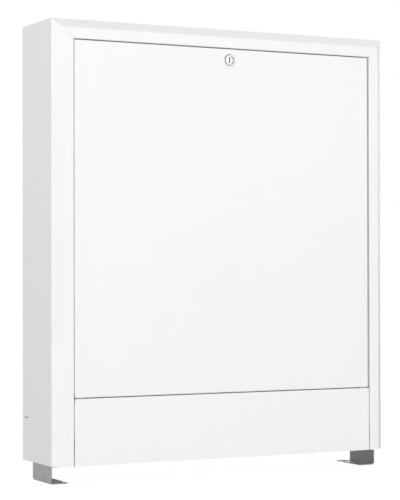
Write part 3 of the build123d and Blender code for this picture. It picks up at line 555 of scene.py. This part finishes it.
def fastened(name, mesh, points, axis, slot, body, *replaced, largest_turn=0.0):
    """Copies of a head on points, through the fastener tree."""
    holder = pattern(mesh)
    made = grown(
        name,
        fasteners,
        points,
        slot,
        body,
        *replaced,
        Head=holder,
        Axis=tuple(axis),
        Largest_turn=largest_turn,
    )
    bpy.data.objects.remove(holder)
    return made


fasteners = fastener_tree()
springs = spring_tree()

# ---- Lock ---------------------------------------------------------------------------------------


def lock():
    """The rosette with its rolled rim, and the wafers that show in the key slot."""
    low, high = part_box("lock_housing")
    centre = joint_at["lock_turn"]
    proud = (centre.y - low.y) / MM
    length = (high.y - centre.y) / MM
    face = (high.x - low.x) / 2 / MM
    body_radius = 7.9
    bore = 5.68
    roll_depth = 1.5
    roll_width = 1.6
    rim = [
        (-proud + roll_depth * (1 - math.sin(a)), face - roll_width * (1 - math.cos(a)))
        for a in [math.radians(90 - 15 * i) for i in range(7)]
    ]
    rows = [
        (length, bore),
        (0.6 - proud, bore),
        (0.15 - proud, bore + 0.15),
        (-proud, bore + 0.6),
        *rim,
        (0, face),
        (0, body_radius),
        *thread_rows(0.5, length, body_radius, 1.0, 0.35),
    ]
    piece("lock_rosette", lathe(rows, centre, ALONG_Y, 96), "lock_chrome", "door", "lock_housing")
    wafer = slab(0, 0.5, stadium(2.4, 0.9), ALONG_Y)
    steps = [(0.3, 2.2), (-0.4, 3.4), (0.5, 4.6)]
    points = [centre + Vector((0, depth * MM, rise * MM)) for rise, depth in steps]
    fastened("lock_wafers", wafer, points, ALONG_Y, "nickel_brass", "lock_core")


# ---- Cabinet fasteners --------------------------------------------------------------------------


def blind_rivets():
    """Blind rivets through the mounting rails, each with the stub of its mandrel."""
    low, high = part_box("rail_rivets")
    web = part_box("upper_mounting_rail")[1].y
    front, rear = (low.y - web) / MM, (high.y - web) / MM
    rows = [
        (front + 0.9, 0),
        (front + 0.9, 0.8),
        (front + 0.1, 0.9),
        (front, 1.5),
        (front + 0.15, 2.9),
        (front + 0.7, 4.1),
        (-1.5, 4.7),
        (-1.5, 2.4),
        (1.25, 2.4),
        (1.25, 4.4),
        (rear - 0.3, 3.6),
        (rear, 1.6),
        (rear, 0),
    ]
    head = 4.6
    points = []
    for rail in ("upper_mounting_rail", "lower_mounting_rail"):
        height = middle(rail).z
        points += [Vector((x, web, height)) for x in (low.x + head * MM, 0, high.x - head * MM)]
    fastened(
        "rail_rivet_heads",
        lathe(rows, Vector(), ALONG_Y, 36, False),
        points,
        ALONG_Y,
        "zinc_plated_steel",
        "cabinet",
        "rail_rivets",
    )


def thumb_screws():
    """Knurled thumbscrews that hold the lower panel to the returns."""
    low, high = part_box("lower_panel_screws")
    head, shank = 5.0, 2.5
    meshes = []
    for start, sign in ((low, 1), (high, -1)):
        centre = Vector((start.x, middle("lower_panel_screws").y, middle("lower_panel_screws").z))
        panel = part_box("lower_front_panel")[0 if sign > 0 else 1].x
        seat = abs(panel - start.x) / MM + 1.0
        rows = [
            (0, 0),
            (0, shank - 0.4),
            (0.4, shank),
            (seat, shank),
            (seat, head - 0.3),
            (seat + 0.5, ribbed(head, 24, 0.35)),
            (seat + 5.6, ribbed(head, 24, 0.35)),
            (seat + 6.4, head - 0.9),
            (seat + 6.6, 2.6),
            (seat + 6.2, 2.2),
            (seat + 6.2, 0),
        ]
        meshes.append(lathe(rows, centre, ALONG_X * sign, 96, False))
    piece("thumb_screws", joined(*meshes), "zinc_plated_steel", "cabinet", "lower_panel_screws")


# ---- Manifold fittings --------------------------------------------------------------------------


def union_nuts():
    """Chamfered union nuts between the ball valves and the bars."""
    low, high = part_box("union_nuts")
    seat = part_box("union_seals")[1].x + 0.1 * MM
    start, end = (low.x - seat) / MM, (high.x - seat) / MM
    flats, bore, neck = 46.0, 19.4, 17.2
    corner = flats / math.sqrt(3)
    drop = 1.7
    rows = [
        (5.3, bore),
        (start + 0.6, bore),
        (start, bore + 0.5),
        (start, flats / 2),
        (start + drop, hexed(flats, corner)),
        (end - drop, hexed(flats, corner)),
        (end, flats / 2),
        (end, neck + 0.5),
        (end - 0.6, neck),
        (5.3, neck),
    ]
    points = [Vector((seat, bar_axis[bar].y, bar_axis[bar].z)) for bar in BARS]
    nut = lathe(rows, Vector(), ALONG_X, 96)
    fastened("union_hex_nuts", nut, points, ALONG_X, "nickel_brass", "cabinet", "union_nuts")


def outlets(bar):
    """Circuit outlets: a hexagon, a male thread and the cone that the pipe's fitting seats on."""
    base, flats, bore, major = 25.0, 27.0, 7.0, 13.2
    corner = flats / math.sqrt(3)
    rows = [
        (base - 9, bore),
        (base - 9, 10.5),
        (base, 10.5),
        (base, flats / 2),
        (base + 1, hexed(flats, corner, math.pi / 6)),
        (base + 5, hexed(flats, corner, math.pi / 6)),
        (base + 6, flats / 2),
        (base + 6, 12.2),
        *thread_rows(base + 6.4, base + 18.4, major, 1.814, 1.0),
        (base + 19, 12.0),
        (base + 19, 9.6),
        (base + 13, bore),
    ]
    points = []
    for circuit in CIRCUITS:
        x = joint_at[f"valve_cap_{circuit}_turn"].x
        points.append(Vector((x, bar_axis[bar].y, bar_axis[bar].z)))
    fastened(
        f"{bar}_outlet_threads",
        lathe(rows, Vector(), -ALONG_Z, 60),
        points,
        ALONG_Z,
        "nickel_brass",
        "cabinet",
        f"{bar}_outlets",
    )


def flow_meter(circuit):
    """A sight glass with its scale, float and spring, in a grooved adjusting ring."""
    node, body = f"flow_meter_{circuit}", f"flow_meter_{circuit}_body"
    low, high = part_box(node)
    foot = Vector((middle(node).x, middle(node).y, low.z))
    height = (high.z - low.z) / MM
    dome = [
        (height - 7 + 7 * math.sin(a), 1.6 + 7 * math.cos(a))
        for a in [math.radians(18 * i) for i in range(5)]
    ]
    glass = [
        (height - 2.4, 0),
        (height - 3.2, 4.4),
        (height - 7, 6.6),
        (7.8, 6.6),
        (7.8, 8.6),
        *dome,
        (height, 1.6),
        (height, 0),
    ]
    piece(f"{node}_glass", lathe(glass, foot, segments=64, closed=False), "clear_plastic", body, node)
    ring = [
        (0, 9.9),
        (0, 13.3),
        (0.9, ribbed(14.3, 30, 0.7)),
        (9.8, ribbed(14.3, 30, 0.7)),
        (11.2, 13.1),
        (11.6, 12.4),
        (11.6, 8.75),
        (7.6, 8.75),
        (7.6, 9.9),
    ]
    piece(f"{node}_ring", lathe(ring, foot, segments=180), "black_plastic", body)
    disc = [
        (16, 0),
        (16, 0.7),
        (21.6, 0.7),
        (22, 4.8),
        (22.6, 5.6),
        (24.4, 5.6),
        (25, 4.8),
        (25.4, 0.7),
        (height - 8, 0.7),
        (height - 8, 0),
    ]
    piece(f"{node}_float", lathe(disc, foot, segments=48, closed=False), "red_plastic", body)
    grown(
        f"{node}_spring",
        springs,
        [foot + ALONG_Z * 26.2 * MM],
        "zinc_plated_steel",
        body,
        Turns=6.0,
        Radius=3.6 * MM,
        Height=(height - 8 - 27.5) * MM,
        Wire_radius=0.3 * MM,
    )
    tick = slab(-0.28, 0.28, stadium(2.6, 0.12), ALONG_Z)
    glass_front = -8.62
    marks = [foot + Vector((0, glass_front * MM, (17 + 4 * i) * MM)) for i in range(6)]
    fastened(f"{node}_scale", tick, marks, ALONG_Z, "black_plastic", body)


def valve_cap(circuit):
    """A grooved hand cap, with a blue ring let into its top."""
    node, body = f"valve_cap_{circuit}", f"valve_cap_{circuit}_body"
    low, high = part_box(node)
    foot = Vector((middle(node).x, middle(node).y, low.z))
    top = (high.z - low.z) / MM
    outer = 19.2
    shell = [
        (18.1, 0),
        (18.1, 4),
        (12.5, 6),
        (12.5, 14.4),
        (0, 14.4),
        (0, 18.2),
        (1.0, outer - 0.2),
        (2.2, outer - 0.2),
        (3.0, ribbed(outer, 20, 1.5)),
        (top - 6.5, ribbed(outer - 0.6, 20, 1.5)),
        (top - 4.6, outer - 1.6),
        (top - 2.2, outer - 2.8),
        (top - 0.7, outer - 4.4),
        (top, outer - 6.4),
        (top, 10.4),
        (top - 1.0, 10.2),
        (top - 1.0, 6.2),
        (top - 0.1, 6.0),
        (top - 0.1, 0),
    ]
    piece(f"{node}_grip", lathe(shell, foot, segments=160, closed=False), "white_plastic", body, node)
    ring = [(top - 1.0, 6.4), (top - 1.0, 10.0), (top - 0.3, 9.8), (top - 0.3, 6.6)]
    piece(f"{node}_ring", lathe(ring, foot, segments=72), "blue_plastic", body)


def valve_handle(bar, slot):
    """A short butterfly handle on the valve's stem."""
    node, body = f"{bar}_valve_handle", f"{bar}_valve_stem"
    low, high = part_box(node)
    axis = bar_axis[bar]
    base = Vector((axis.x, high.y, axis.z))
    half = (high.x - low.x) / 2 / MM
    tip = 7.5
    reach = half - tip
    depth = (high.y - low.y) / MM
    rows = [
        (0, 4.5),
        (0, 7.2),
        (0.4, 7.6),
        (2.3, 8.2),
        (2.5, stadium(reach, tip - 1.0)),
        (3.2, stadium(reach, tip - 0.2)),
        (4.0, stadium(reach, tip)),
        (6.0, stadium(reach, tip)),
        (6.9, stadium(reach, tip - 0.4)),
        (7.5, stadium(reach, tip - 1.6)),
        (7.6, 10.4),
        (8.4, 8.0),
        (depth - 0.5, 7.4),
        (depth, 6.8),
        (depth, 4.5),
    ]
    piece(f"{node}_grip", lathe(rows, base, -ALONG_Y, 144), slot, body, node)


def end_fittings(bar):
    """The key-operated air vent above an end piece and the drain cap below it."""
    node = f"{bar}_air_vent"
    low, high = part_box(node)
    foot = Vector((middle(node).x, middle(node).y, low.z))
    top = (high.z - low.z) / MM
    vent = [
        (0, 0),
        (0, 3.6),
        (11.4, 3.6),
        (11.4, 6.6),
        (11.9, ribbed(7.0, 18, 0.5)),
        (17.4, ribbed(7.0, 18, 0.5)),
        (18.2, 6.2),
        (18.2, hexed(6.0)),
        (top, hexed(5.6)),
        (top, 1.2),
        (top - 2, 1.2),
        (top - 2, 0),
    ]
    vent_mesh = lathe(vent, foot, segments=108, closed=False)
    piece(f"{node}_screw", vent_mesh, "nickel_brass", f"{node}_body", node)
    node = f"{bar}_drain_cap"
    low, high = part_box(node)
    head = Vector((middle(node).x, middle(node).y, high.z))
    deep = (high.z - low.z) / MM
    cap = [
        (11.5, 0),
        (11.5, 10.4),
        (0, 10.4),
        (0, 12.5),
        (0.8, ribbed(13.0, 24, 0.7)),
        (12.6, ribbed(13.0, 24, 0.7)),
        (14.0, 12.0),
        (14.3, stadium(7.8, 2.9)),
        (15.2, stadium(7.5, 2.4)),
        (deep - 0.8, stadium(7.5, 2.2)),
        (deep, stadium(7.2, 1.5)),
        (deep, 0),
    ]
    cap_mesh = lathe(cap, head, -ALONG_Z, 144, False)
    piece(f"{node}_grip", cap_mesh, "black_plastic", f"{node}_body", node)


def bracket_bolts():
    """Flanged hexagon bolts that hold the brackets on the rails."""
    low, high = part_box("bracket_bolts")
    length = (high.y - low.y) / MM
    flats = 13.0
    rows = [
        (0, 0),
        (0, 5.2),
        (0.1, flats / 2 - 0.2),
        (0.8, hexed(flats)),
        (5.0, hexed(flats)),
        (5.4, 7.4),
        (5.8, 8.0),
        (7.0, 8.0),
        (7.0, 4.0),
        *thread_rows(7.6, length - 0.4, 4.0, 1.25, 0.6),
        (length, 3.3),
        (length, 0),
    ]
    points = []
    for side in ("left_bracket", "right_bracket"):
        for rail in ("upper_mounting_rail", "lower_mounting_rail"):
            points.append(Vector((middle(side).x, low.y, middle(rail).z)))
    bolt = lathe(rows, Vector(), ALONG_Y, 72, False)
    fastened(
        "bracket_hex_bolts", bolt, points, ALONG_Y, "zinc_plated_steel", "cabinet",
        "bracket_bolts", largest_turn=FULL_TURN,
    )


def clamp_screws():
    """Button-headed socket screws through the clamps' ears."""
    spacing = 29.0 * MM
    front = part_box("clamp_screws")[0].y - bar_axis["return"].y
    rows = [
        (2.2, 0),
        (2.0, hexed(3.0)),
        (0.2, hexed(3.0)),
        (0.0, 2.4),
        (0.4, 3.3),
        (1.3, 4.2),
        (2.4, 4.7),
        (3.6, 4.8),
        (3.6, 2.5),
        *thread_rows(4.0, 13.2, 2.5, 0.8, 0.4),
        (13.6, 2.0),
        (13.6, 0),
    ]
    points = []
    for side in ("left_bracket", "right_bracket"):
        for bar in BARS:
            for sign in (-1, 1):
                axis = bar_axis[bar]
                points.append(Vector((middle(side).x, axis.y + front, axis.z + sign * spacing)))
    screw = lathe(rows, Vector(), ALONG_Y, 48, False)
    fastened(
        "clamp_socket_screws", screw, points, ALONG_Y, "zinc_plated_steel", "cabinet",
        "clamp_screws", largest_turn=FULL_TURN,
    )


# ---- Stage, light and camera --------------------------------------------------------------------

CAMERA_PLACE = Vector((-1.1861, -2.2731, 0.2966))
CAMERA_YAW = math.radians(-27.26)
CAMERA_PITCH = math.radians(0.677)
CAMERA_ROLL = math.radians(-0.113)
CAMERA_LENS = 125.0

AMBIENT = 0.76
OVERHEAD = 0.35  # how much weaker the light is straight overhead
FROM_LEFT = 0.76  # how much stronger it is from the far left
BACKDROP = 1.4
FLOOR_ALBEDO = 0.58
FLOOR_SEEN = 0.90
FLOOR_HALF = 8.0
FLOOR_DROP = 0.0002  # below the feet
FLOOR_SHADE = 0.22  # how much of a shadow the eye sees
KEY_POWER = 109.0
KEY_SIZE = 2.0
KEY_PLACE = Vector((-1.1, -4.5, 0.9))
CARDS = (  # the node that sees the card, the way to it, its distance, width and glow
    ("lock_housing", Vector((-0.38, -0.20, 0.90)), 0.5, 1.15, 0.0),
    ("lock_housing", Vector((-0.72, -0.40, -0.45)), 0.45, 0.40, 0.0),
    ("lock_housing", Vector((-0.46, -0.89, 0.00)), 1.2, 0.50, 0.10),
    ("lock_housing", Vector((0.46, -0.89, 0.01)), 1.2, 0.50, 1.35),
    ("right_foot", Vector((-0.46, 0.89, -0.05)), 0.5, 0.50, 0.0),
)


def stage_material():
    """A plain white floor: even to the eye, with a soft contact shadow, and matt to all else."""
    material = bpy.data.materials.new("plain_floor")
    material.use_nodes = True
    graph = Graph(material.node_tree)
    graph.tree.nodes.clear()
    glow = graph.add("ShaderNodeEmission", inputs={"Strength": FLOOR_SEEN})
    shade = graph.add("ShaderNodeBsdfDiffuse", inputs={"Color": (*[FLOOR_SHADE] * 3, 1)})
    to_eye = graph.add("ShaderNodeAddShader", inputs={0: shade, 1: glow})
    matt = graph.add("ShaderNodeBsdfDiffuse", inputs={"Color": (*[FLOOR_ALBEDO] * 3, 1)})
    seen = graph.add("ShaderNodeLightPath", output="Is Camera Ray")
    both = graph.add("ShaderNodeMixShader", inputs={0: seen, 1: matt, 2: to_eye})
    graph.add("ShaderNodeOutputMaterial", inputs={"Surface": both})
    return material


def staged_square(name, half, material):
    """A level square of the studio, about the origin."""
    shape = bmesh.new()
    bmesh.ops.create_grid(shape, x_segments=1, y_segments=1, size=half)
    mesh = bpy.data.meshes.new(name)
    shape.to_mesh(mesh)
    shape.free()
    mesh.materials.append(material)
    square = bpy.data.objects.new(name, mesh)
    bpy.context.scene.collection.objects.link(square)
    return square


def floor():
    plane = staged_square("floor", FLOOR_HALF, stage_material())
    plane.location.z = cad_low.z - FLOOR_DROP


def cards():
    """Dark and bright cards that only polished metal sees."""
    for node, towards, distance, width, glow in CARDS:
        paint = bpy.data.materials.new("card")
        paint.use_nodes = True
        graph = Graph(paint.node_tree)
        graph.tree.nodes.clear()
        light = graph.add("ShaderNodeEmission", inputs={"Strength": glow})
        graph.add("ShaderNodeOutputMaterial", inputs={"Surface": light})
        card = staged_square("card", width / 2, paint)
        card.location = middle(node) + towards.normalized() * distance
        card.rotation_euler = towards.to_track_quat("Z", "Y").to_euler()
        card.visible_camera = False
        card.visible_diffuse = False
        card.visible_shadow = False
        card.visible_transmission = False


def studio():
    """Even light from all round, a brighter backdrop and a large soft light by the camera."""
    world = bpy.data.worlds.new("studio")
    bpy.context.scene.world = world
    world.use_nodes = True
    graph = Graph(world.node_tree)
    direction = graph.add("ShaderNodeTexCoord", output="Generated")
    nearness = graph.add(
        "ShaderNodeVectorMath",
        {"operation": "DOT_PRODUCT"},
        {0: direction, 1: (-math.sin(CAMERA_YAW), math.cos(CAMERA_YAW), 0.0)},
        output="Value",
    )
    behind = graph.ramp(nearness, 0.75, 0.95)
    height = graph.add("ShaderNodeSeparateXYZ", inputs={"Vector": direction}, output="Z")
    above = graph.ramp(height, 0.1, 0.9)
    sideways = graph.add("ShaderNodeSeparateXYZ", inputs={"Vector": direction}, output="X")
    leftmost = graph.ramp(sideways, -0.3, -0.95)
    seen = graph.add("ShaderNodeLightPath", output="Is Camera Ray")
    even = AMBIENT * (1 - OVERHEAD * above + FROM_LEFT * leftmost)
    light = even + BACKDROP * behind
    backdrop = graph.tree.nodes["Background"]
    graph.feed(backdrop.inputs["Strength"], light * (1 - seen) + seen)
    backdrop.inputs["Color"].default_value = (1, 1, 1, 1)

    lamp = bpy.data.lights.new("front_softbox", "AREA")
    lamp.shape = "SQUARE"
    lamp.size = KEY_SIZE
    lamp.energy = KEY_POWER
    softbox = bpy.data.objects.new("front_softbox", lamp)
    softbox.location = KEY_PLACE
    aim = Vector((0, 0, cad_high.z / 2)) - KEY_PLACE
    softbox.rotation_euler = aim.to_track_quat("-Z", "Y").to_euler()
    softbox.visible_camera = False
    softbox.visible_glossy = False
    bpy.context.scene.collection.objects.link(softbox)


def camera():
    ahead = Vector((
        -math.sin(CAMERA_YAW) * math.cos(CAMERA_PITCH),
        math.cos(CAMERA_YAW) * math.cos(CAMERA_PITCH),
        math.sin(CAMERA_PITCH),
    ))
    level = Vector((math.cos(CAMERA_YAW), math.sin(CAMERA_YAW), 0))
    above = level.cross(ahead)
    right = math.cos(CAMERA_ROLL) * level + math.sin(CAMERA_ROLL) * above
    up = math.cos(CAMERA_ROLL) * above - math.sin(CAMERA_ROLL) * level
    turn = Matrix((right, up, -ahead)).transposed().to_4x4()
    data = bpy.data.cameras.new("camera")
    data.lens = CAMERA_LENS
    view = bpy.data.objects.new("camera", data)
    view.matrix_world = Matrix.Translation(CAMERA_PLACE) @ turn
    bpy.context.scene.collection.objects.link(view)
    bpy.context.scene.camera = view


# ---- The whole object ---------------------------------------------------------------------------

bpy.context.scene.view_settings.view_transform = "Standard"
camera()
floor()
cards()
studio()
dress_frame()
lock()
blind_rivets()
thumb_screws()
union_nuts()
for bar_name, handle_slot in zip(BARS, ("red_plastic", "blue_plastic")):
    outlets(bar_name)
    valve_handle(bar_name, handle_slot)
    end_fittings(bar_name)
for number in CIRCUITS:
    flow_meter(number)
    valve_cap(number)
bracket_bolts()
clamp_screws()
